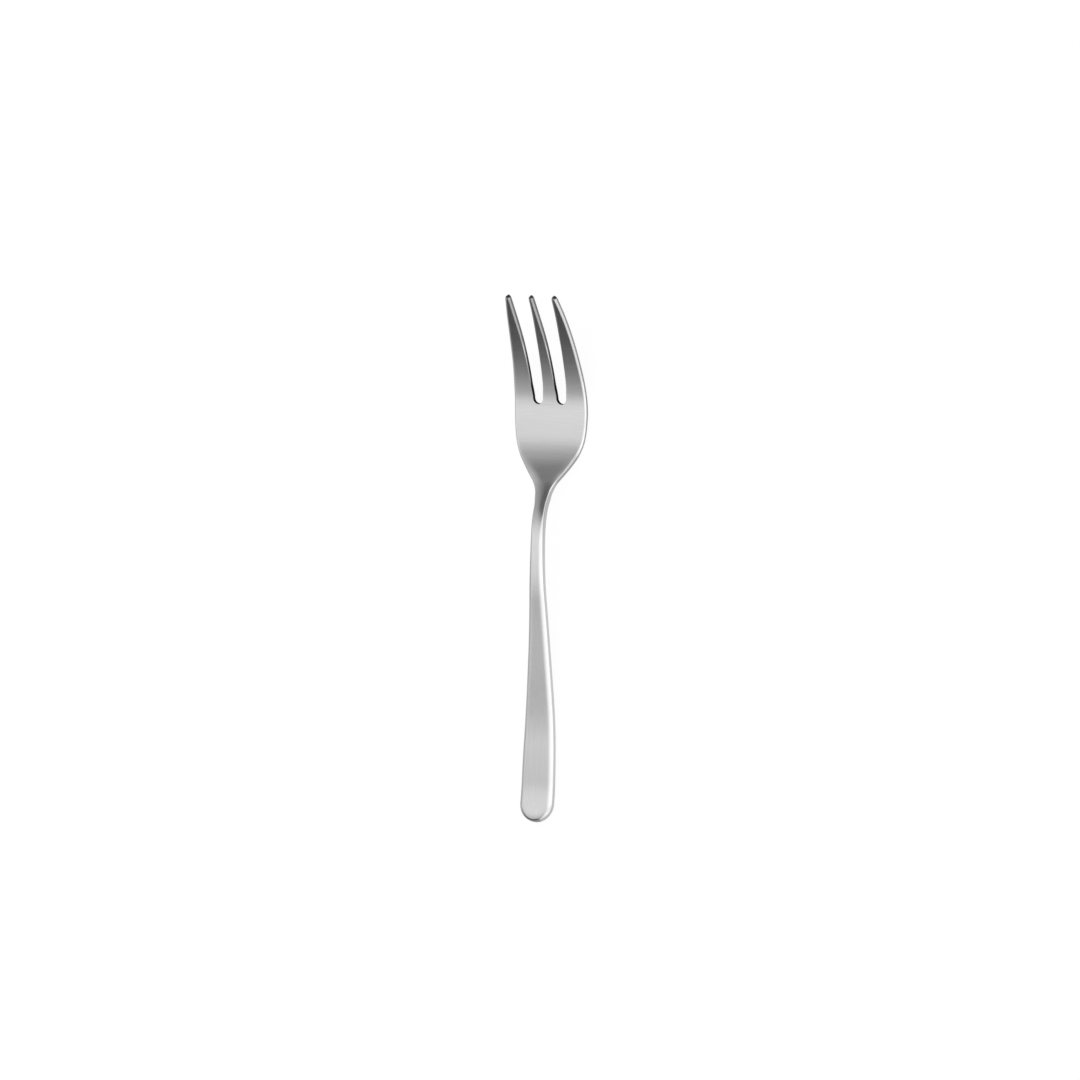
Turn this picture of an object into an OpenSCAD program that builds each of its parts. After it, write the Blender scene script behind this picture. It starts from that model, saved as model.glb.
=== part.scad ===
// Three-tined pastry fork, pressed and forged from one piece of stainless steel.
// The fork lies on a table, tines up: X is its width, Y runs from the handle to the tines, Z is up.
// Places along the fork are measured from the end of the handle, and the part is centred at the end.

/* [Whole fork] */
// Length from the end of the handle to the tips of the tines
length = 150; // [140:1:175]
// Height of the middle of the metal at the tips, above the table
tip_h = 15.9; // [12:0.1:19]

/* [Handle] */
// Width of the handle at its end
handle_w = 10.5; // [8:0.1:14]
// Thickness of the metal in the handle
handle_t = 3; // [2.2:0.1:4]
// Length of the end that curls up a little from the table
curl_l = 11; // [8:0.5:13]
// How far the end of the handle is lifted by its curl
curl_h = 1; // [0:0.05:1.2]
// Length of the flat stretch that lies on the table, after the curl
rest_l = 12; // [8:0.5:16]
// How far the rounding of the handle's edge reaches in from the outline
handle_edge = 1.9; // [1:0.1:2.4]
// How far the rounding reaches in at the very end of the handle
handle_end_edge = 0.7; // [0.4:0.05:1.2]

/* [Neck] */
// Width of the neck where it is narrowest
neck_w = 3.8; // [3:0.05:5]
// Distance from the tips to the narrowest place of the neck
neck_from_tip = 60.5; // [58:0.5:65]
// Height of the clear space under the top of the neck's arch
arch_h = 5.1; // [2:0.1:9]
// Distance from the tips to the top of the arch
arch_from_tip = 70; // [68:0.5:76]

/* [Head] */
// Widest part of the head
head_w = 23.3; // [19:0.1:28]
// Thickness of the metal in the head and the tines
head_t = 1.6; // [1.2:0.1:2.4]
// Distance from the tips to the widest part of the head
wide_from_tip = 33.5; // [33:0.5:36]
// Distance from the tips to the place where the head touches the table
bowl_from_tip = 39.5; // [37:0.5:44]
// How far the rounding of the outer edge of the neck and the head reaches in from the outline
head_edge = 0.8; // [0.3:0.05:1.2]

/* [Tines] */
// Length of the slots between the tines
slot_l = 30.7; // [24:0.1:31.2]
// Width of a slot where its rounded bottom ends
slot_w = 3.1; // [2.2:0.05:4]
// Distance between the middles of the two slots at their bottoms
slot_pitch = 7.5; // [6:0.1:8.4]
// Distance between the tips of two neighbouring tines
tip_pitch = 7.4; // [5.5:0.05:8.2]
// Width of an outer tine at its tip
outer_tip_w = 1.6; // [0.8:0.05:2]
// Width of the middle tine at its tip
middle_tip_w = 1.5; // [0.8:0.05:2]
// Length of the round nose of a tine
nose_l = 0.9; // [0.6:0.1:2]
// Radius of the upper edge of a slot's walls, which stay nearly as they were cut
slot_edge = 0.12; // [0.05:0.01:0.4]
// Radius of the lower edge of a slot's walls
slot_under_edge = 0.5; // [0.2:0.05:0.8]
// Distance from the bottom of a slot at which its walls begin to be ground round
grind_from = 8; // [2:0.5:10]
// Length over which the grinding of the walls grows to a full round
grind_l = 20; // [10:0.5:21]

/* [Hidden] */

// How many steps each stretch of the outline is drawn with
end_steps = 9;
curl_steps = 3;
rest_steps = 2;
handle_steps = 22;
neck_steps = 26;
bowl_steps = 3;
root_steps = 6;
tine_steps = 16;
tip_steps = 6;
edge_steps = 4;

// The largest share that a rounded edge takes of the half width of the body or of a tine,
// and its share of the metal's half thickness
body_edge_share = 0.7;
tine_edge_share = 0.95;
full_edge_share = 0.9;

// A tine's nose gets thinner later than it gets narrower, by this power, so its end is a small wall
nose_power = 0.35;

// Places along the fork
end_r = handle_w / 2;
rest_y = curl_l + rest_l;
neck_y = length - neck_from_tip;
arch_y = length - arch_from_tip;
bowl_y = length - bowl_from_tip;
wide_y = length - wide_from_tip;
slot_y = length - slot_l;
slot_r = slot_w / 2;
slot_x = slot_pitch / 2;

// Half widths, and the distance over the outer edges of the tips
neck_half = neck_w / 2;
head_half = head_w / 2;
outer_tip_r = outer_tip_w / 2;
middle_tip_r = middle_tip_w / 2;
span_half = tip_pitch + outer_tip_r;

// The outline from the handle's end to the neck: [share of the way, share of the widening left]
handle_shares = [[0, 1], [0.11, 0.993], [0.22, 0.937], [0.33, 0.805], [0.45, 0.603],
                 [0.56, 0.418], [0.67, 0.257], [0.78, 0.128], [0.9, 0.048], [1, 0]];
// The outline from the neck to the widest part: [share of the way, share of the widening reached]
shoulder_shares = [[0, 0], [0.09, 0.026], [0.18, 0.07], [0.27, 0.189], [0.37, 0.407],
                   [0.46, 0.593], [0.56, 0.768], [0.68, 0.9], [0.83, 0.973], [1, 1]];
// The outer edge from the widest part to the tips: [share of the way, share of the narrowing reached]
taper_shares = [[0, 0], [0.23, 0.081], [0.43, 0.252], [0.64, 0.441], [0.84, 0.692], [1, 1]];
// The edges of the slots, from the slot's bottom to the tips: [share of the way, share of the flare]
flare_shares = [[0, 0], [0.13, 0.244], [0.24, 0.329], [0.44, 0.454], [0.63, 0.578], [0.82, 0.815], [1, 1]];
// Where the metal gets thinner, and where its edges get sharper: shares of the way from the neck
// to the widest part, with the round edge of the handle fading out a little before the neck
thin_shares = [-0.05, 0.7];
sharpen_shares = [-0.3, 0.06];

// Slopes of the side view, as rises over runs, and the stations at which they hold.
// The curl's slope at the very end is a share of its mean slope.
curl_share = 1.5;
foot_slope = 0.1;
back_slope = 0.155;
fall_slope = -0.3;
land_slope = -0.27;
scoop_slope = 0.277;
tip_slope = 0.687;
foot_share = 0.32;
back_share = 0.7;
fall_share = 0.295;
land_share = 0.69;
scoop_share = 0.3;
foot_rise_share = 0.238;
back_rise_share = 0.755;
fall_rise_share = 0.805;
land_rise_share = 0.217;
scoop_rise_share = 0.069;

handle_mid = handle_t / 2;
head_mid = head_t / 2;
arch_mid = arch_h + handle_mid;

// The middle of the metal ends short of the tips, because their noses lean up and bulge out below it
tip_lean = tip_slope / norm([1, tip_slope]);
nose_turns = [for (i = [1:tip_steps]) 90 * i / tip_steps];
nose_bulge = max([for (a = nose_turns) nose_l * sin(a) + head_mid * tip_lean * pow(cos(a), nose_power)]);
tip_y = length + nose_l - nose_bulge;

// The middle of the metal seen from the side: [place, height, slope]
side = [
    [0, handle_mid + curl_h, -curl_share * curl_h / curl_l],
    [curl_l, handle_mid, 0],
    [rest_y, handle_mid, 0],
    [mix(rest_y, arch_y, foot_share), mix(handle_mid, arch_mid, foot_rise_share), foot_slope],
    [mix(rest_y, arch_y, back_share), mix(handle_mid, arch_mid, back_rise_share), back_slope],
    [arch_y, arch_mid, 0],
    [mix(arch_y, bowl_y, fall_share), mix(head_mid, arch_mid, fall_rise_share), fall_slope],
    [mix(arch_y, bowl_y, land_share), mix(head_mid, arch_mid, land_rise_share), land_slope],
    [bowl_y, head_mid, 0],
    [mix(bowl_y, tip_y, scoop_share), mix(head_mid, tip_h, scoop_rise_share), scoop_slope],
    [tip_y, tip_h, tip_slope]
];

function mix(a, b, share) = a + (b - a) * share;
function clamp(v) = max(0, min(1, v));
function ease(v) = clamp(v) * clamp(v) * (3 - 2 * clamp(v));

// Value and slope at place y of the smooth curve through two stations
function span_at(a, b, y) =
    let (l = b[0] - a[0], t = (y - a[0]) / l)
    [
        (1 + 2 * t) * pow(1 - t, 2) * a[1] + t * pow(1 - t, 2) * l * a[2]
            + t * t * (3 - 2 * t) * b[1] + t * t * (t - 1) * l * b[2],
        6 * t * (t - 1) * (a[1] - b[1]) / l + (1 - t) * (1 - 3 * t) * a[2] + t * (3 * t - 2) * b[2]
    ];
function curve(stations, y, i = 0) =
    i >= len(stations) - 2 || y <= stations[i + 1][0]
        ? span_at(stations[i], stations[i + 1], y)
        : curve(stations, y, i + 1);

// Stations from a list of shares, each sloping as its two neighbours do
function stations(shares, y0, y1, v0, v1) =
    let (p = [for (s = shares) [mix(y0, y1, s[0]), mix(v0, v1, s[1])]], last = len(p) - 1)
    [for (i = [0:last])
        let (a = p[max(0, i - 1)], b = p[min(last, i + 1)])
        [p[i][0], p[i][1], i == 0 ? 0 : (b[1] - a[1]) / (b[0] - a[0])]];

handle_line = stations([for (s = handle_shares) [s[0], 1 - s[1]]], 0, neck_y, end_r, neck_half);
shoulder_line = stations(shoulder_shares, neck_y, wide_y, neck_half, head_half);
taper_line = stations(taper_shares, wide_y, tip_y, head_half, span_half);
slot_top = slot_y + slot_r;
inner_line = stations(flare_shares, slot_top, tip_y, slot_x + slot_r, tip_pitch - outer_tip_r);
middle_line = stations(flare_shares, slot_top, tip_y, slot_x - slot_r, middle_tip_r);

// Half width of the fork at place y, with its slope
function half_at(y) =
    y < neck_y ? curve(handle_line, y) : y < wide_y ? curve(shoulder_line, y) : curve(taper_line, y);

// Half the width of an outer tine, and the line along its middle
function tine_half(y) = (curve(taper_line, y)[0] - curve(inner_line, y)[0]) / 2;
function tine_mid(y) = (curve(taper_line, y)[0] + curve(inner_line, y)[0]) / 2;

// Thickness of the metal, how far its rounded edge reaches in, and how much the slots' walls are ground
function way_at(y, shares) = ease(((y - neck_y) / (wide_y - neck_y) - shares[0]) / (shares[1] - shares[0]));
function thick_at(y) = mix(handle_t, head_t, way_at(y, thin_shares));
function reach_at(y) = mix(handle_edge, head_edge, way_at(y, sharpen_shares));
function ground_at(y) = ease((y - slot_y - grind_from) / grind_l);

// A point of the flat pattern at height h from the middle of the metal, after bending
function bent(x, y, h) =
    let (s = curve(side, max(0, y)), n = norm([1, s[1]]))
    [x, y - h * s[1] / n, s[0] + h / n];

// The points of the edge at outline point p, from the top face round to the underside.
// Direction n points out of the metal, and limit is the farthest the rounding may reach in.
// In a slot the wall has smaller roundings where it isn't ground. In a tine's nose only a share
// of the tine's width is left, round its middle o.
function edge(p, n, limit, in_slot = false, o = [0, 0], left = 1) =
    let (
        t = thick_at(p[1]) / 2,
        reach = min(reach_at(p[1]), limit),
        depth = t * full_edge_share,
        ground = in_slot ? ground_at(p[1]) : 1,
        full = [reach, depth],
        top = mix([min(slot_edge, limit), min(slot_edge, depth)], full, ground),
        low = mix([min(slot_under_edge, limit), min(slot_under_edge, depth)], full, ground),
        u = n / norm(n)
    )
    [for (up = [1, -1], k = [0:edge_steps])
        let (
            a = 90 * (up > 0 ? k : edge_steps - k) / edge_steps,
            r = up > 0 ? top : low,
            q = p - u * r[0] * (1 - sin(a)),
            s = left < 1 ? mix(o, q, left) : q
        )
        bent(s[0], s[1], up * pow(left, nose_power) * (t - r[1] * (1 - cos(a))))];

// Edges of the outline on side d, 1 for the right and -1 for the left
function side_limit(y, w) =
    y > slot_top ? min(w * body_edge_share, tine_half(y) * tine_edge_share) : w * body_edge_share;
function side_edge(y, d, left = 1) =
    let (w = half_at(y), o = [d * tine_mid(y), y])
    edge([d * w[0], y], [d, -w[1]], side_limit(y, w[0]), false, o, left);
function end_edge(a, d) =
    let (limit = mix(handle_end_edge, handle_edge, ease(a / 90)))
    edge([d * end_r * sin(a), end_r * (1 - cos(a))], [d * sin(a), -cos(a)], limit);

// Edges in the slots: the middle tine's on side d, the right tine's, and the one round the bottom
// of the slot at x, from its lowest point at angle 0 to its side d at angle 90
function middle_edge(y, d, left = 1) =
    let (w = curve(middle_line, y))
    edge([d * w[0], y], [d, -w[1]], w[0] * tine_edge_share, true, [0, y], left);
function inner_edge(y, left = 1) =
    let (w = curve(inner_line, y))
    edge([w[0], y], [-1, w[1]], tine_half(y) * tine_edge_share, true, [tine_mid(y), y], left);
function root_edge(x, a, d) =
    edge([x + d * slot_r * sin(a), slot_y + slot_r * (1 - cos(a))], [-d * sin(a), cos(a)], slot_r, true);

// Places along the fork at which its edges are drawn
curl_places = [for (i = [1:curl_steps]) mix(end_r, curl_l, i / curl_steps)];
rest_places = [for (i = [1:rest_steps]) mix(curl_l, rest_y, i / rest_steps)];
handle_places = [for (i = [1:handle_steps]) mix(rest_y, neck_y, i / handle_steps)];
neck_places = [for (i = [1:neck_steps]) mix(neck_y, wide_y, i / neck_steps)];
function turn(i, steps) = 90 * i / steps;
function root_y(a) = slot_y + slot_r - (slot_r + slot_edge) * cos(a);
tine_places = [for (i = [1:tine_steps]) mix(slot_top, tip_y - nose_l, i / tine_steps)];
function nose_y(a) = tip_y - nose_l * (1 - sin(a));
bowl_places = [for (i = [1:bowl_steps]) mix(wide_y, slot_y - slot_under_edge, i / (bowl_steps + 1))];
places = concat(curl_places, rest_places, handle_places, neck_places, bowl_places);

// Rungs of the body and of the tines: each has its left edge and its right edge
body_rungs = concat(
    [for (i = [0:end_steps]) [end_edge(turn(i, end_steps), -1), end_edge(turn(i, end_steps), 1)]],
    [for (y = places) [side_edge(y, -1), side_edge(y, 1)]]
);
middle_rungs = concat(
    [for (i = [0:root_steps])
        [root_edge(-slot_x, turn(i, root_steps), 1), root_edge(slot_x, turn(i, root_steps), -1)]],
    [for (y = tine_places) [middle_edge(y, -1), middle_edge(y, 1)]],
    [for (a = nose_turns) [middle_edge(nose_y(a), -1, cos(a)), middle_edge(nose_y(a), 1, cos(a))]]
);
right_rungs = concat(
    [for (i = [0:root_steps], a = turn(i, root_steps))
        [root_edge(slot_x, a, 1), side_edge(root_y(a), 1)]],
    [for (y = tine_places) [inner_edge(y), side_edge(y, 1)]],
    [for (a = nose_turns) [inner_edge(nose_y(a), cos(a)), side_edge(nose_y(a), 1, cos(a))]]
);
function mirrored(points) = [for (p = points) [-p[0], p[1], p[2]]];
left_rungs = [for (r = right_rungs) [mirrored(r[1]), mirrored(r[0])]];

// Triangles between two rungs: the left edge, the right edge, the top face and the underside
under = 2 * edge_steps + 1;
function quad(a, b, c, d) = [[a, b, c], [a, c, d]];
function strips(r, s) = concat(
    [for (k = [0:under - 1]) each quad(r[1][k], s[1][k], s[1][k + 1], r[1][k + 1])],
    [for (k = [0:under - 1]) each quad(r[0][k + 1], s[0][k + 1], s[0][k], r[0][k])]
);
function faces_between(r, s) = concat(
    strips(r, s),
    quad(r[0][0], s[0][0], s[1][0], r[1][0]),
    quad(r[1][under], s[1][under], s[0][under], r[0][under])
);
function ladder(rungs) = [for (i = [0:len(rungs) - 2]) each faces_between(rungs[i], rungs[i + 1])];

// The body's last step meets the three tines, so its faces run through the bottoms of the slots
last_rung = body_rungs[len(body_rungs) - 1];
joining_rung = [left_rungs[0][0], right_rungs[0][1]];
slots = [left_rungs[0][1], right_rungs[0][0]];
function fan(r, s, k) = [
    [r[0][k], s[0][k], slots[0][k]],
    [r[0][k], slots[0][k], slots[1][k]],
    [r[0][k], slots[1][k], r[1][k]],
    [r[1][k], slots[1][k], s[1][k]]
];
function flipped(faces) = [for (f = faces) [f[2], f[1], f[0]]];
joining_faces = concat(
    strips(last_rung, joining_rung),
    fan(last_rung, joining_rung, 0),
    flipped(fan(last_rung, joining_rung, under))
);

// Where a rung shrinks to one edge, at the handle's end and at the tips, its face has no area
function whole(f) = f[0] != f[1] && f[1] != f[2] && f[2] != f[0];
all_faces = concat(
    ladder(body_rungs),
    joining_faces,
    ladder(left_rungs),
    ladder(middle_rungs),
    ladder(right_rungs)
);
skin = [for (f = all_faces) if (whole(f)) f];
corners = [for (f = skin) each f];

module fork() {
    color("silver")
    translate([0, -length / 2, 0])
    polyhedron(points = corners, faces = [for (i = [0:len(skin) - 1]) [3 * i, 3 * i + 1, 3 * i + 2]]);
}

fork();
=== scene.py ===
import math

import bpy
from mathutils import Matrix, Vector


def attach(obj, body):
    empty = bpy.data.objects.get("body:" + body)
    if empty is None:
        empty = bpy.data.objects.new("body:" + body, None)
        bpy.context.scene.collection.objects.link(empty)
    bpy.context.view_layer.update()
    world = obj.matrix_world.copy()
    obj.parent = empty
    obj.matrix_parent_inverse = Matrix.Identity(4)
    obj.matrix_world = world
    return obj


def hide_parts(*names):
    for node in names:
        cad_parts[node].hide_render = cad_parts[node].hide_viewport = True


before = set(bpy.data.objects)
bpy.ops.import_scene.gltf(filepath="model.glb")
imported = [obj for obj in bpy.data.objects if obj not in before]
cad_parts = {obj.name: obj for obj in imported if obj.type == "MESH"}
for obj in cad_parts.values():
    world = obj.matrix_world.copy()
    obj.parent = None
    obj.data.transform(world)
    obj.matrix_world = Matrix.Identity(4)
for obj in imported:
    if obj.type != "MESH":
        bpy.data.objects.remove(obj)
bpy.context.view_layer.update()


# The fork: one blank of stainless steel, cut out, forged thinner in the head and pressed to its curve.
# Its outer edges are ground round and polished and its faces satin brushed. The walls of the slots and
# the ends of the tines stay dull. These, the shoulders' edges, the tines' outer sides and the handle's
# end are also darkened with painted shade. All sizes are in millimetres, and places run from the
# handle's end.
MM = 0.001
length = 150.0
tip_height = 15.9
handle_width = 10.5
handle_thick = 3.0
curl_length = 11.0
curl_lift = 1.0
rest_length = 12.0
handle_edge = 1.9
handle_end_edge = 0.7
neck_width = 3.8
neck_y = length - 60.5
arch_y = length - 70.0
arch_clear = 5.1
head_width = 23.3
head_thick = 1.6
head_edge = 0.8
wide_y = length - 33.5
bowl_y = length - 39.5
slot_y = length - 30.7
slot_width = 3.1
slot_pitch = 7.5
slot_edge = 0.12
slot_under_edge = 0.5
grind_from = 8.0
grind_length = 20.0
tip_pitch = 7.4
outer_tip = 1.6
middle_tip = 1.5
nose_length = 0.9
nose_power = 0.35
body_edge_share = 0.7
tine_edge_share = 0.95
full_edge_share = 0.9
thin_shares = (-0.05, 0.7)
edge_shares = (-0.3, 0.06)

rest_y = curl_length + rest_length
end_r = handle_width / 2
slot_r = slot_width / 2
slot_x = slot_pitch / 2
slot_top = slot_y + slot_r
handle_mid = handle_thick / 2
head_mid = head_thick / 2
arch_mid = arch_clear + handle_mid

curl_slope = -1.5 * curl_lift / curl_length
foot_slope = 0.1
back_slope = 0.155
fall_slope = -0.3
land_slope = -0.27
scoop_slope = 0.277
tip_slope = 0.687
tip_lean = tip_slope / math.hypot(1, tip_slope)
nose_rungs = 10
nose_steps = [math.radians(90 * i / nose_rungs) for i in range(1, nose_rungs + 1)]
tip_y = length + nose_length - max(
    nose_length * math.sin(a) + head_mid * tip_lean * math.cos(a) ** nose_power for a in nose_steps)


def mix(a, b, share):
    return a + (b - a) * share


def rise(v, start, end):
    """How much of a soft change that runs from start to end is done at v."""
    share = min(1.0, max(0.0, (v - start) / (end - start)))
    return share * share * (3 - 2 * share)


def hill(v, start, top, brow, end):
    """A soft change that runs up from start to top, and down again from brow to end."""
    return rise(v, start, top) * (1 - rise(v, brow, end))


def curve(stations, y):
    """Value and slope, at place y, of the smooth curve through stations of (place, value, slope)."""
    i = 0
    while i < len(stations) - 2 and y > stations[i + 1][0]:
        i += 1
    (y0, v0, s0), (y1, v1, s1) = stations[i:i + 2]
    run = y1 - y0
    t = (y - y0) / run
    value = ((1 + 2 * t) * (1 - t) ** 2 * v0 + t * (1 - t) ** 2 * run * s0
             + t * t * (3 - 2 * t) * v1 + t * t * (t - 1) * run * s1)
    slope = (6 * t * (t - 1) * (v0 - v1) / run + (1 - t) * (1 - 3 * t) * s0 + t * (3 * t - 2) * s1)
    return value, slope


def outline(shares, y0, y1, v0, v1):
    """Stations from shares of the way and of the change, each sloping as its two neighbours do."""
    points = [(mix(y0, y1, way), mix(v0, v1, change)) for way, change in shares]
    made = [(points[0][0], points[0][1], 0.0)]
    for i in range(1, len(points)):
        before, after = points[i - 1], points[min(i + 1, len(points) - 1)]
        made.append((*points[i], (after[1] - before[1]) / (after[0] - before[0])))
    return made


# The outline's half widths: how much of the narrowing or widening is done at each share of the way
handle_line = outline(
    [(0, 0), (0.11, 0.007), (0.22, 0.063), (0.33, 0.195), (0.45, 0.397), (0.56, 0.582), (0.67, 0.743),
     (0.78, 0.872), (0.9, 0.952), (1, 1)], 0, neck_y, end_r, neck_width / 2)
shoulder_line = outline(
    [(0, 0), (0.09, 0.026), (0.18, 0.07), (0.27, 0.189), (0.37, 0.407), (0.46, 0.593), (0.56, 0.768),
     (0.68, 0.9), (0.83, 0.973), (1, 1)], neck_y, wide_y, neck_width / 2, head_width / 2)
taper_line = outline(
    [(0, 0), (0.23, 0.081), (0.43, 0.252), (0.64, 0.441), (0.84, 0.692), (1, 1)],
    wide_y, tip_y, head_width / 2, tip_pitch + outer_tip / 2)
flare = [(0, 0), (0.13, 0.244), (0.24, 0.329), (0.44, 0.454), (0.63, 0.578), (0.82, 0.815), (1, 1)]
inner_line = outline(flare, slot_top, tip_y, slot_x + slot_r, tip_pitch - outer_tip / 2)
middle_line = outline(flare, slot_top, tip_y, slot_x - slot_r, middle_tip / 2)

# The middle of the metal seen from the side: place, height above the table, slope
side_line = [
    (0, handle_mid + curl_lift, curl_slope),
    (curl_length, handle_mid, 0),
    (rest_y, handle_mid, 0),
    (mix(rest_y, arch_y, 0.32), mix(handle_mid, arch_mid, 0.238), foot_slope),
    (mix(rest_y, arch_y, 0.7), mix(handle_mid, arch_mid, 0.755), back_slope),
    (arch_y, arch_mid, 0),
    (mix(arch_y, bowl_y, 0.295), mix(head_mid, arch_mid, 0.805), fall_slope),
    (mix(arch_y, bowl_y, 0.69), mix(head_mid, arch_mid, 0.217), land_slope),
    (bowl_y, head_mid, 0),
    (mix(bowl_y, tip_y, 0.3), mix(head_mid, tip_height, 0.069), scoop_slope),
    (tip_y, tip_height, tip_slope),
]


def half_at(y):
    if y < neck_y:
        return curve(handle_line, y)
    return curve(shoulder_line, y) if y < wide_y else curve(taper_line, y)


def along_head(y, start, end):
    """How much of a change is done at y, between two shares of the way from the neck to the head."""
    return rise((y - neck_y) / (wide_y - neck_y), start, end)


def half_thick(y):
    return mix(handle_mid, head_mid, along_head(y, *thin_shares))


press_reach = 1.2
press_steps = 4


def side_at(y):
    """Height and slope of the middle of the metal, with the press's soft run between its bends."""
    height = slope = total = 0.0
    for i in range(-press_steps, press_steps + 1):
        weight = 1 + math.cos(math.pi * i / (press_steps + 1))
        h, s = curve(side_line, y + press_reach * i / press_steps)
        height += weight * h
        slope += weight * s
        total += weight
    return height / total, slope / total


def tine_half(y):
    return (curve(taper_line, y)[0] - curve(inner_line, y)[0]) / 2


def tine_mid(y):
    return (curve(taper_line, y)[0] + curve(inner_line, y)[0]) / 2


def inset_at(x, y):
    """How far a place in the flat pattern lies in from the outline of the body."""
    return end_r - math.hypot(x, y - end_r) if y < end_r else half_at(y)[0] - abs(x)


neck_crown = 0.4
neck_crown_reach = 3.4
neck_crown_run = (neck_y - 8, neck_y, neck_y + 8, neck_y + 15)
end_crown = 0.3
end_crown_reach = 2.6
end_crown_run = (1.5, 6.5)


def crown_drop(y, inset):
    """How far the top face has fallen, this far in from the outline.

    The forged neck is oval, and the end of the handle is ground off softly all round.
    """
    neck = neck_crown * hill(y, *neck_crown_run)
    neck_reach = min(neck_crown_reach, half_at(y)[0])
    end = end_crown * (1 - rise(y, *end_crown_run))
    return (neck * max(0.0, 1 - inset / neck_reach) ** 2
            + end * max(0.0, 1 - inset / end_crown_reach) ** 2)


# How dull the surface is and how far painted shade darkens it, where and how far in: 1 is a wall as
# it was cut, painted near black, 0 a polished edge
cut_shade_run = (slot_y + 8, slot_y + 32)
cut_shade_rim = (0.03, 0.15)
upper_cut_shade_loss = 0.55
upper_cut_shade_run = (slot_y + 3, slot_y + 8)
slot_dull_shade = 0.53
shoulder_dull_shade = 0.47
shoulder_run = (neck_y + 5, neck_y + 8, neck_y + 14, neck_y + 18)
flank_dull_shade = 0.38
flank_run = (slot_y + 2, slot_y + 8)
nose_dull_shade = 0.72
nose_gone = (0.06, 0.2)
end_dull_shade = 0.55
end_dull_shade_run = (0.1, 1.0)
end_dull_shade_from = 0.8
wall_from = 0.5


def ground_at(y):
    """How far the wall of a slot is ground round at y: not at all at its bottom, and fully higher up."""
    return rise(y, slot_y + grind_from, slot_y + grind_from + grind_length)


def dullness(y, above, in_slot, polish, inset, kept):
    """How matt the edge is and how far painted shade darkens it, from its place, its polish and how far
    in from the wall it lies.

    The slots' walls are rough and painted near black at their bottoms, the more so in their lower half,
    which is painted shade. The edges of the shoulders, of the tines' outer sides and of the handle's end
    are half rough and half darkened with painted shade, and the ends of the tines, where less of their
    width is kept, are rougher and take more painted shade than those.
    """
    if in_slot:
        cut_shade = (1 - rise(y, *cut_shade_run)) * (1 - rise(inset, *cut_shade_rim))
        if above:
            cut_shade *= 1 - upper_cut_shade_loss * rise(y, *upper_cut_shade_run)
        half = slot_dull_shade * min(1.0, 2 * ground_at(y))
    else:
        cut_shade = 0.0
        half = shoulder_dull_shade * hill(y, *shoulder_run) + flank_dull_shade * rise(y, *flank_run)
    wall = max(cut_shade, half) * rise(polish, 0, wall_from)
    nose = nose_dull_shade * rise(1 - kept, *nose_gone)
    end = end_dull_shade * (1 - rise(y, *end_dull_shade_run))
    if above and polish <= end_dull_shade_from:
        end = 0.0
    return max(wall, nose, end)


# The neck's top edges are tighter: the shares of the rounding's reach and depth, and its power
tight_run = (neck_y - 12, neck_y - 2, neck_y + 7, neck_y + 15)
tight_reach_share = 0.4
tight_depth_share = 0.65
tight_power = 1.3
edge_steps = 9


def edge(x, y, nx, ny, limit, in_slot=False, middle=0.0, kept=1.0):
    """Points of the rounded edge, from the top face round to the underside, in the flat pattern.

    (nx, ny) points out of the metal and limit is the farthest that the rounding may reach in. In a
    slot the roundings are small where the wall isn't ground. In the nose of a tine only a share of
    its width is kept, round its middle. Each point is x, y, height, polish, and how matt and how dark
    with painted shade it is.
    """
    t = half_thick(y)
    depth = t * full_edge_share
    reach = min(mix(handle_edge, head_edge, along_head(y, *edge_shares)), limit)
    ground = ground_at(y) if in_slot else 1.0
    size = math.hypot(nx, ny)
    points = []
    for above, slot_radius in ((True, slot_edge), (False, slot_under_edge)):
        tight = hill(y, *tight_run) if above else 0.0
        in_reach = mix(min(slot_radius, limit), reach, ground) * mix(1, tight_reach_share, tight)
        in_depth = mix(min(slot_radius, depth), depth, ground) * mix(1, tight_depth_share, tight)
        power = mix(1, tight_power, tight)
        drop = crown_drop(y, in_reach) if above else 0.0
        for k in range(edge_steps + 1):
            turn = math.radians(90 * (k if above else edge_steps - k) / edge_steps)
            polish = math.sin(turn)
            inset = in_reach * (1 - polish ** power) / size
            height = t - in_depth + (in_depth - drop) * math.cos(turn) ** power
            dull = dullness(y, above, in_slot, polish, in_reach * (1 - polish), kept)
            points.append((middle + (x - nx * inset - middle) * kept, y - ny * inset * kept,
                           (height if above else -height) * kept ** nose_power, polish, dull))
    return points


def side_edge(y, side, kept=1.0):
    w, slope = half_at(y)
    limit = w * body_edge_share
    if y > slot_top:
        limit = min(limit, tine_half(y) * tine_edge_share)
    return edge(side * w, y, side, -slope, limit, False, side * tine_mid(y), kept)


def end_edge(angle, side):
    s, c = math.sin(angle), math.cos(angle)
    limit = mix(handle_end_edge, handle_edge, rise(angle, 0, math.radians(90)))
    return edge(side * end_r * s, end_r * (1 - c), side * s, -c, limit)


def middle_edge(y, side, kept=1.0):
    w, slope = curve(middle_line, y)
    return edge(side * w, y, side, -slope, w * tine_edge_share, True, 0.0, kept)


def inner_edge(y, kept=1.0):
    w, slope = curve(inner_line, y)
    return edge(w, y, -1, slope, tine_half(y) * tine_edge_share, True, tine_mid(y), kept)


def root_edge(x, angle, side):
    s, c = math.sin(angle), math.cos(angle)
    return edge(x + side * slot_r * s, slot_y + slot_r * (1 - c), -side * s, c, slot_r, True)


def steps(start, end, count):
    return [mix(start, end, i / count) for i in range(1, count + 1)]


def turns(count):
    return [math.radians(90 * i / count) for i in range(count + 1)]


def root_place(angle):
    return slot_y + slot_r - (slot_r + slot_edge) * math.cos(angle)


def nose_place(angle):
    return tip_y - nose_length * (1 - math.sin(angle))


def flipped(points):
    """The same points on the other side of the fork."""
    return [(-x, *rest) for x, *rest in points]


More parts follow.
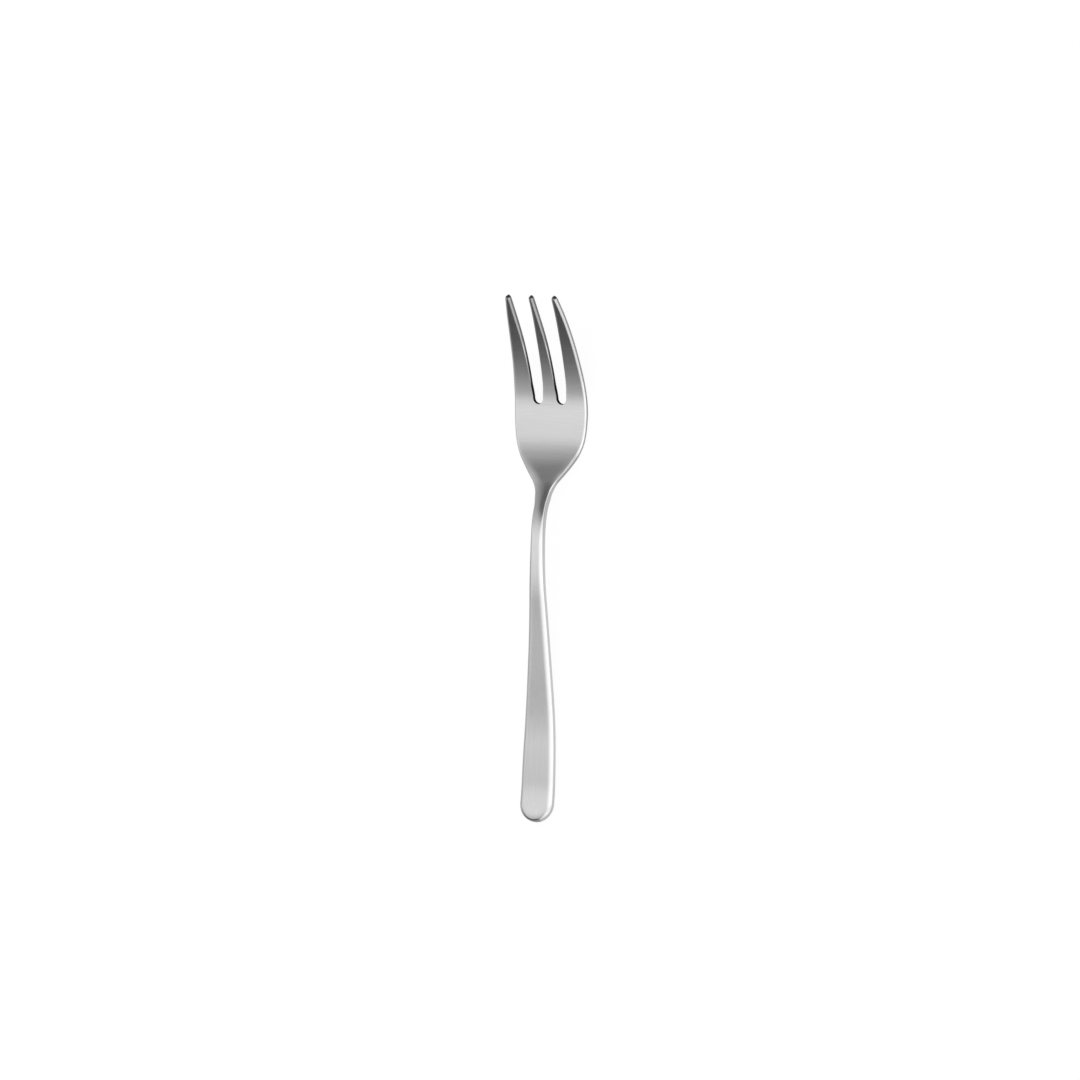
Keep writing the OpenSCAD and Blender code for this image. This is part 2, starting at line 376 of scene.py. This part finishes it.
# Rungs across the body and across each tine: a left edge and a right edge
end_rungs = 20
curl_rungs = 8
rest_rungs = 12
arch_rungs = 84
shoulder_rungs = 64
bowl_rungs = 6
root_rungs = 12
tine_rungs = 48

body_places = (steps(end_r, curl_length, curl_rungs) + steps(curl_length, rest_y, rest_rungs)
               + steps(rest_y, neck_y, arch_rungs) + steps(neck_y, wide_y, shoulder_rungs)
               + steps(wide_y, slot_y - slot_under_edge, bowl_rungs)[:-1] + [root_place(0)])
body = [(end_edge(a, -1), end_edge(a, 1)) for a in turns(end_rungs)]
body += [(side_edge(y, -1), side_edge(y, 1)) for y in body_places]

tine_places = steps(slot_top, tip_y - nose_length, tine_rungs)
nose_places = [(nose_place(a), math.cos(a)) for a in nose_steps]

middle_tine = [(root_edge(-slot_x, a, 1), root_edge(slot_x, a, -1)) for a in turns(root_rungs)]
middle_tine += [(middle_edge(y, -1), middle_edge(y, 1)) for y in tine_places]
middle_tine += [(middle_edge(y, -1, kept), middle_edge(y, 1, kept)) for y, kept in nose_places]

right_tine = [(root_edge(slot_x, a, 1), side_edge(root_place(a), 1)) for a in turns(root_rungs)]
right_tine += [(inner_edge(y), side_edge(y, 1)) for y in tine_places]
right_tine += [(inner_edge(y, kept), side_edge(y, 1, kept)) for y, kept in nose_places]

left_tine = [(flipped(outer), flipped(inner)) for inner, outer in right_tine]


# Corners that agree to this many digits are one corner
merge_digits = 5


class Skin:
    """The fork's surface as it grows: corners at their places after bending, and the faces on them."""

    def __init__(self):
        self.corners = []
        self.faces = []
        self.polish = []
        self.dull = []
        self.known = {}

    def corner(self, x, y, h, polish=0.0, dull=0.0):
        middle_h, slope = side_at(y)
        n = math.hypot(1, slope)
        place = (x, y - h * slope / n - length / 2, middle_h + h / n)
        key = tuple(round(v, merge_digits) for v in place)
        if key not in self.known:
            self.known[key] = len(self.corners)
            self.corners.append([v * MM for v in place])
            self.polish.append(polish)
            self.dull.append(dull)
        return self.known[key]

    def ring(self, rung, shares):
        """Corners round one rung: over the top face, down the right edge, back under, up the left."""
        left, right = rung
        x, y = right[0][:2]
        rim_drop = crown_drop(y, inset_at(x, y))
        over = []
        under = []
        for share in shares[1:-1]:
            x, y, h = [mix(a, b, share) for a, b in zip(left[0][:3], right[0][:3])]
            over.append(self.corner(x, y, h + rim_drop - crown_drop(y, inset_at(x, y))))
            x, y, h = [mix(a, b, share) for a, b in zip(left[-1][:3], right[-1][:3])]
            under.append(self.corner(x, y, h))
        left_side = [self.corner(*p) for p in left]
        right_side = [self.corner(*p) for p in right]
        return [left_side[0], *over, *right_side, *reversed(under), *reversed(left_side[1:])]

    def face(self, *corners):
        apart = [c for i, c in enumerate(corners) if c != corners[i - 1]]
        if len(set(apart)) > 2:
            self.faces.append(apart)

    def ladder(self, rungs, shares):
        """Faces between each rung and the next, with corners at these shares of a rung's width."""
        rings = [self.ring(rung, shares) for rung in rungs]
        for a, b in zip(rings, rings[1:]):
            for i in range(len(a)):
                j = (i + 1) % len(a)
                self.face(a[i], a[j], b[j], b[i])


# Across the body the rungs are split so that its last one meets the three tines corner to corner
root_left = body[-1][0][0][0]
slot_share = (-slot_x - root_left) / (-2 * root_left)
tine_columns = 6
tine_shares = [i / tine_columns for i in range(tine_columns + 1)]
body_shares = ([slot_share * s for s in tine_shares]
               + [mix(slot_share, 1 - slot_share, s) for s in tine_shares[1:]]
               + [mix(1 - slot_share, 1, s) for s in tine_shares[1:]])

skin = Skin()
skin.ladder(body, body_shares)
skin.ladder(left_tine, tine_shares)
skin.ladder(middle_tine, tine_shares)
skin.ladder(right_tine, tine_shares)

fork_mesh = bpy.data.meshes.new("fork_steel")
fork_mesh.from_pydata(skin.corners, [], skin.faces)
# The second attribute holds how dull each corner is and how far painted shade darkens it
for name, values in (("polish", skin.polish), ("dullness", skin.dull)):
    layer = fork_mesh.attributes.new(name, "FLOAT", "POINT")
    layer.data.foreach_set("value", values)
fork_mesh.polygons.foreach_set("use_smooth", [True] * len(fork_mesh.polygons))
fork_mesh.update()
fork = bpy.data.objects.new("fork_steel", fork_mesh)
bpy.context.scene.collection.objects.link(fork)


class Shade:
    """One socket of a material, which a formula can use as it uses a number."""

    def __init__(self, tree, socket=None):
        self.tree = tree
        self.socket = socket

    def add(self, kind, settings=None, inputs=None, out=0):
        """Adds a node of this kind: its settings first, then the values or links of its sockets."""
        made = self.tree.nodes.new(kind)
        for name, value in (settings or {}).items():
            if name == "stops":
                stops = made.color_ramp.elements
                for _ in value[2:]:
                    stops.new(0.5)
                for stop, (place, colour) in zip(stops, value):
                    stop.position = place
                    stop.color = colour
            else:
                setattr(made, name, value)
        for name, value in (inputs or {}).items():
            if isinstance(value, Shade):
                self.tree.links.new(value.socket, made.inputs[name])
            else:
                made.inputs[name].default_value = value
        return Shade(self.tree, made.outputs[out] if made.outputs else None)

    def maths(self, operation, a, b=0.0):
        return self.add("ShaderNodeMath", {"operation": operation}, {0: a, 1: b})

    def __add__(self, other):
        return self.maths("ADD", self, other)

    def __radd__(self, other):
        return self.maths("ADD", other, self)

    def __sub__(self, other):
        return self.maths("SUBTRACT", self, other)

    def __rsub__(self, other):
        return self.maths("SUBTRACT", other, self)

    def __mul__(self, other):
        return self.maths("MULTIPLY", self, other)

    def __rmul__(self, other):
        return self.maths("MULTIPLY", other, self)

    def step(self, start, end):
        """0 before start and 1 after end, with a soft run between them."""
        return self.add("ShaderNodeMapRange", {"interpolation_type": "SMOOTHSTEP"},
                        {"Value": self, "From Min": start, "From Max": end})


def new_material(name):
    made = bpy.data.materials.new(name)
    made.use_nodes = True
    made.node_tree.nodes.clear()
    return made, Shade(made.node_tree)


def grey(level):
    return (level, level, level, 1.0)


def blend(shade, factor, a, b):
    """A colour between two colours, each a tuple or a socket. A Mix node's colours are 6, 7 and 2."""
    return shade.add("ShaderNodeMix", {"data_type": "RGBA"}, {"Factor": factor, 6: a, 7: b}, out=2)


def stretched(shade, place, stretch, shift):
    """A place that is stretched along each axis and then shifted."""
    scaled = shade.add("ShaderNodeVectorMath", {"operation": "MULTIPLY"}, {0: place, 1: stretch})
    return shade.add("ShaderNodeVectorMath", {"operation": "ADD"}, {0: scaled, 1: shift})


def brushing(shade, place, streaks, seed):
    """Fine scratches of a satin brush: noise with so many streaks in a metre, along each axis."""
    return shade.add("ShaderNodeTexNoise", {}, {
        "Vector": stretched(shade, place, streaks, (seed, seed, seed)),
        "Scale": 1.0, "Detail": 3.0, "Roughness": 0.6})


# The handle is brushed lengthwise and the head across. The brushing turns at the shoulders.
brush_turn = (0.018, 0.026)
close_streaks = 5200.0
long_streaks = 130.0
broad_streaks = (420.0, 60.0, 420.0)
streak_relief = 0.35
streak_depth = 0.01
dark_streak = 0.63
light_streak = 0.69
polished_level = 0.68
# The steel's colour where it is fully dull: near black, which is painted shade
painted_shade_level = 0.02
polished_rough = 0.2
satin_rough = 0.07
streak_rough = 0.05
broad_rough = 0.03
cut_rough = 0.25

steel, shade = new_material("satin_steel")
place = shade.add("ShaderNodeTexCoord", out="Object")
along = shade.add("ShaderNodeSeparateXYZ", inputs={0: place}, out="Y")
polish = shade.add("ShaderNodeAttribute", {"attribute_name": "polish"}, out="Fac")
dull = shade.add("ShaderNodeAttribute", {"attribute_name": "dullness"}, out="Fac")

lengthwise = brushing(shade, place, (close_streaks, long_streaks, close_streaks), 3.0)
crosswise = brushing(shade, place, (long_streaks, close_streaks, close_streaks / 2), 11.0)
broad = brushing(shade, place, broad_streaks, 23.0)
on_head = along.step(*brush_turn)
scratches = lengthwise * (1 - on_head) + crosswise * on_head
satin = 1 - polish.step(0.05, 0.8)

face_colour = blend(shade, scratches.step(0.25, 0.75), grey(dark_streak), grey(light_streak))
colour_before_shade = blend(shade, polish.step(0.1, 0.9), face_colour, grey(polished_level))
# Where it is dull the steel is also painted towards near black: this is painted shade for the dark those
# places would mirror, while their added roughness is their matt finish
colour = blend(shade, dull.step(0.25, 0.85), colour_before_shade, grey(painted_shade_level))
brushed_rough = satin * (satin_rough + streak_rough * scratches + broad_rough * broad)
relief = shade.add("ShaderNodeBump", {}, {
    "Strength": streak_relief, "Distance": streak_depth * MM, "Height": scratches * satin})
metal = shade.add("ShaderNodeBsdfPrincipled", {}, {
    "Base Color": colour, "Metallic": 1.0, "Normal": relief,
    "Roughness": polished_rough + brushed_rough + dull * cut_rough})
shade.add("ShaderNodeOutputMaterial", {}, {"Surface": metal})
fork_mesh.materials.append(steel)

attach(fork, "root")
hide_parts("fork")


# The table: a plain white board under the fork, wider than the picture. It is matt and takes a soft
# shadow. The steel shows its white too, but only near the fork, in an oval twice as long as wide.
board_half = 3.0
board_gap = 0.00003
board_grey = 0.5
white_glow = 1.1
white_share = 0.85
mirrored_share = 0.6
oval_stretch = (1.0, 0.5, 0.0)
oval_shift = (-0.01, 0.015, 0.0)
oval_rim = (0.012, 0.04)

table_mesh = bpy.data.meshes.new("table")
table_mesh.from_pydata([(x * board_half, y * board_half, -board_gap)
                        for x, y in ((-1, -1), (1, -1), (1, 1), (-1, 1))], [], [(0, 1, 2, 3)])
table = bpy.data.objects.new("table", table_mesh)
bpy.context.scene.collection.objects.link(table)

board, shade = new_material("white_board")
seen = shade.add("ShaderNodeLightPath", out="Is Camera Ray")
mirrored = shade.add("ShaderNodeLightPath", out="Is Glossy Ray")
through = shade.add("ShaderNodeLightPath", out="Is Transmission Ray")
where = shade.add("ShaderNodeTexCoord", out="Object")
from_middle = stretched(shade, where, oval_stretch, oval_shift)
far = shade.add("ShaderNodeVectorMath", {"operation": "LENGTH"}, {0: from_middle}, out="Value")
near = 1 - far.step(*oval_rim)
white = seen * white_share + (mirrored + through) * near * mirrored_share
backdrop = shade.maths("MINIMUM", white, white_share)
paint = shade.add("ShaderNodeBsdfDiffuse", {}, {"Color": grey(board_grey)})
glow = shade.add("ShaderNodeEmission", {}, {"Color": grey(1.0), "Strength": white_glow})
shown = shade.add("ShaderNodeMixShader", {}, {"Fac": backdrop, 1: paint, 2: glow})
shade.add("ShaderNodeOutputMaterial", {}, {"Surface": shown})
table_mesh.materials.append(board)


# The light tent: a half round of white cloth over the table, which shows only in the steel. A soft
# panel as long as the fork lights it from overhead, and a brighter, longer one from the right. Its
# left side is dimmed in parts, and a dark card hangs beyond the tines.
tent_radius = 0.3
tent_half = 0.6
tent_turns = 48
tent_corners = []
for i in range(tent_turns + 1):
    turn = math.radians(-90 + 180 * i / tent_turns)
    for y in (-tent_half, tent_half):
        tent_corners.append((tent_radius * math.sin(turn), y, tent_radius * math.cos(turn)))
tent_faces = [(2 * i, 2 * i + 1, 2 * i + 3, 2 * i + 2) for i in range(tent_turns)]
tent_faces += [tuple(range(0, 2 * tent_turns + 2, 2)), tuple(range(1, 2 * tent_turns + 3, 2))]
tent_mesh = bpy.data.meshes.new("light_tent")
tent_mesh.from_pydata(tent_corners, [], tent_faces)
tent = bpy.data.objects.new("light_tent", tent_mesh)
bpy.context.scene.collection.objects.link(tent)
tent.visible_camera = False
tent.visible_diffuse = False
tent.visible_shadow = False


# Light levels at places along the tent, in metres from the fork's middle towards the tips
overhead_stops = [
    (-0.6, 0.03), (-0.28, 0.0), (-0.2, 0.07), (-0.165, 0.16), (-0.12, 0.48), (-0.09, 0.44),
    (-0.06, 1.13), (-0.03, 1.04), (0.015, 1.2), (0.035, 1.2), (0.077, 0.78), (0.14, 0.6),
    (0.174, 0.45), (0.22, 0.15), (0.6, 0.05)]
right_stops = [
    (-0.6, 0.5), (-0.5, 0.8), (-0.2, 0.9), (-0.14, 1.25), (-0.1, 1.2), (-0.056, 1.5), (-0.035, 1.65),
    (-0.014, 1.6), (0.035, 1.3), (0.1, 1.1), (0.17, 0.9), (0.26, 0.1), (0.6, 0.0)]
brightest = 1.65
end_cloth = 0.85
card_share = 0.95

# Where these lights and darks begin and end: degrees from straight up towards the right, and metres
right_turn = (-15, 35)
left_turn = (-90, -50)
left_dim_from = (-0.075, -0.045)
left_dim_to = (-0.03, 0.01)
left_end_dim = (0.1, 0.15)
card_left = (-33, -14)
card_right = (25, 42)
card_run = (0.105, 0.15)
end_turn = (-25, 25)
end_run = (-0.17, -0.12)
end_faint_run = (-0.22, -0.17)
end_lean = 0.003


def along_tent(shade, place, stops):
    """The light level at each place along the tent, as a share of the brightest."""
    colours = [((y + tent_half) / (2 * tent_half), grey(level / brightest)) for y, level in stops]
    return shade.add("ShaderNodeValToRGB", {"stops": colours}, {"Fac": place * (0.5 / tent_half) + 0.5})


cloth, shade = new_material("lit_cloth")
where = shade.add("ShaderNodeTexCoord", out="Object")
across = shade.add("ShaderNodeSeparateXYZ", inputs={0: where}, out="X")
along = shade.add("ShaderNodeSeparateXYZ", inputs={0: where}, out="Y")
height = shade.add("ShaderNodeSeparateXYZ", inputs={0: where}, out="Z")

angle = shade.maths("ARCTAN2", across, height) * (180 / math.pi)
to_right = angle.step(*right_turn)
to_left = 1 - angle.step(*left_turn)
dimmed = to_left * (0.1 + 0.6 * along.step(*left_dim_from) - 0.4 * along.step(*left_dim_to)
                    + 0.25 * along.step(*left_end_dim))
card = along.step(*card_run) * angle.step(*card_left) * (1 - angle.step(*card_right))

# A plain stretch of cloth past the handle's end, on the right, that is fainter farther out
slanted = along + end_lean * angle
end_strip = (angle.step(*end_turn) * (1 - along.step(*end_run))
             * (0.55 + 0.3 * slanted.step(*end_faint_run)))

overhead = blend(shade, dimmed, along_tent(shade, along, overhead_stops), grey(0.0))
both = blend(shade, to_right, overhead, along_tent(shade, along, right_stops))
lit = blend(shade, end_strip, both, grey(end_cloth))
level = blend(shade, card * card_share, lit, grey(0.0))
light = shade.add("ShaderNodeEmission", {}, {"Color": level, "Strength": brightest})
shade.add("ShaderNodeOutputMaterial", {}, {"Surface": light})
tent_mesh.materials.append(cloth)

# The room is plain white all round
room = bpy.data.worlds.new("white_room")
room.use_nodes = True
room.node_tree.nodes.clear()
shade = Shade(room.node_tree)
sky = shade.add("ShaderNodeBackground", {}, {"Color": grey(1.0), "Strength": 1.0})
shade.add("ShaderNodeOutputWorld", {}, {"Surface": sky})
bpy.context.scene.world = room


# The camera: a very long lens high above the fork, 28 degrees towards its right, so that the view is
# nearly parallel. It is rolled a little about its own axis. Its aim is given along the picture's axes.
view_tilt = math.radians(28)
view_roll = math.radians(1.8802)
lens = 1000.0
film = 36.0
view_width = 307.69 * MM
aim_right = -2.352 * MM
aim_up = 5.464 * MM
aim_near = 6.0 * MM

level_right = Vector((math.cos(view_tilt), 0, -math.sin(view_tilt)))
fork_way = Vector((0, 1, 0))
cam_right = math.cos(view_roll) * level_right + math.sin(view_roll) * fork_way
cam_up = math.cos(view_roll) * fork_way - math.sin(view_roll) * level_right
cam_back = cam_right.cross(cam_up)
aim = cam_right * aim_right + cam_up * aim_up + cam_back * aim_near
stand = aim + cam_back * (view_width * lens / film)

camera_data = bpy.data.cameras.new("camera")
camera_data.lens = lens
camera_data.sensor_width = film
camera_data.clip_start = 0.1
camera_data.clip_end = 30.0
camera = bpy.data.objects.new("camera", camera_data)
bpy.context.scene.collection.objects.link(camera)
camera.matrix_world = Matrix((
    (cam_right.x, cam_up.x, cam_back.x, stand.x),
    (cam_right.y, cam_up.y, cam_back.y, stand.y),
    (cam_right.z, cam_up.z, cam_back.z, stand.z),
    (0, 0, 0, 1)))
bpy.context.scene.camera = camera
bpy.context.scene.view_settings.view_transform = "Standard"
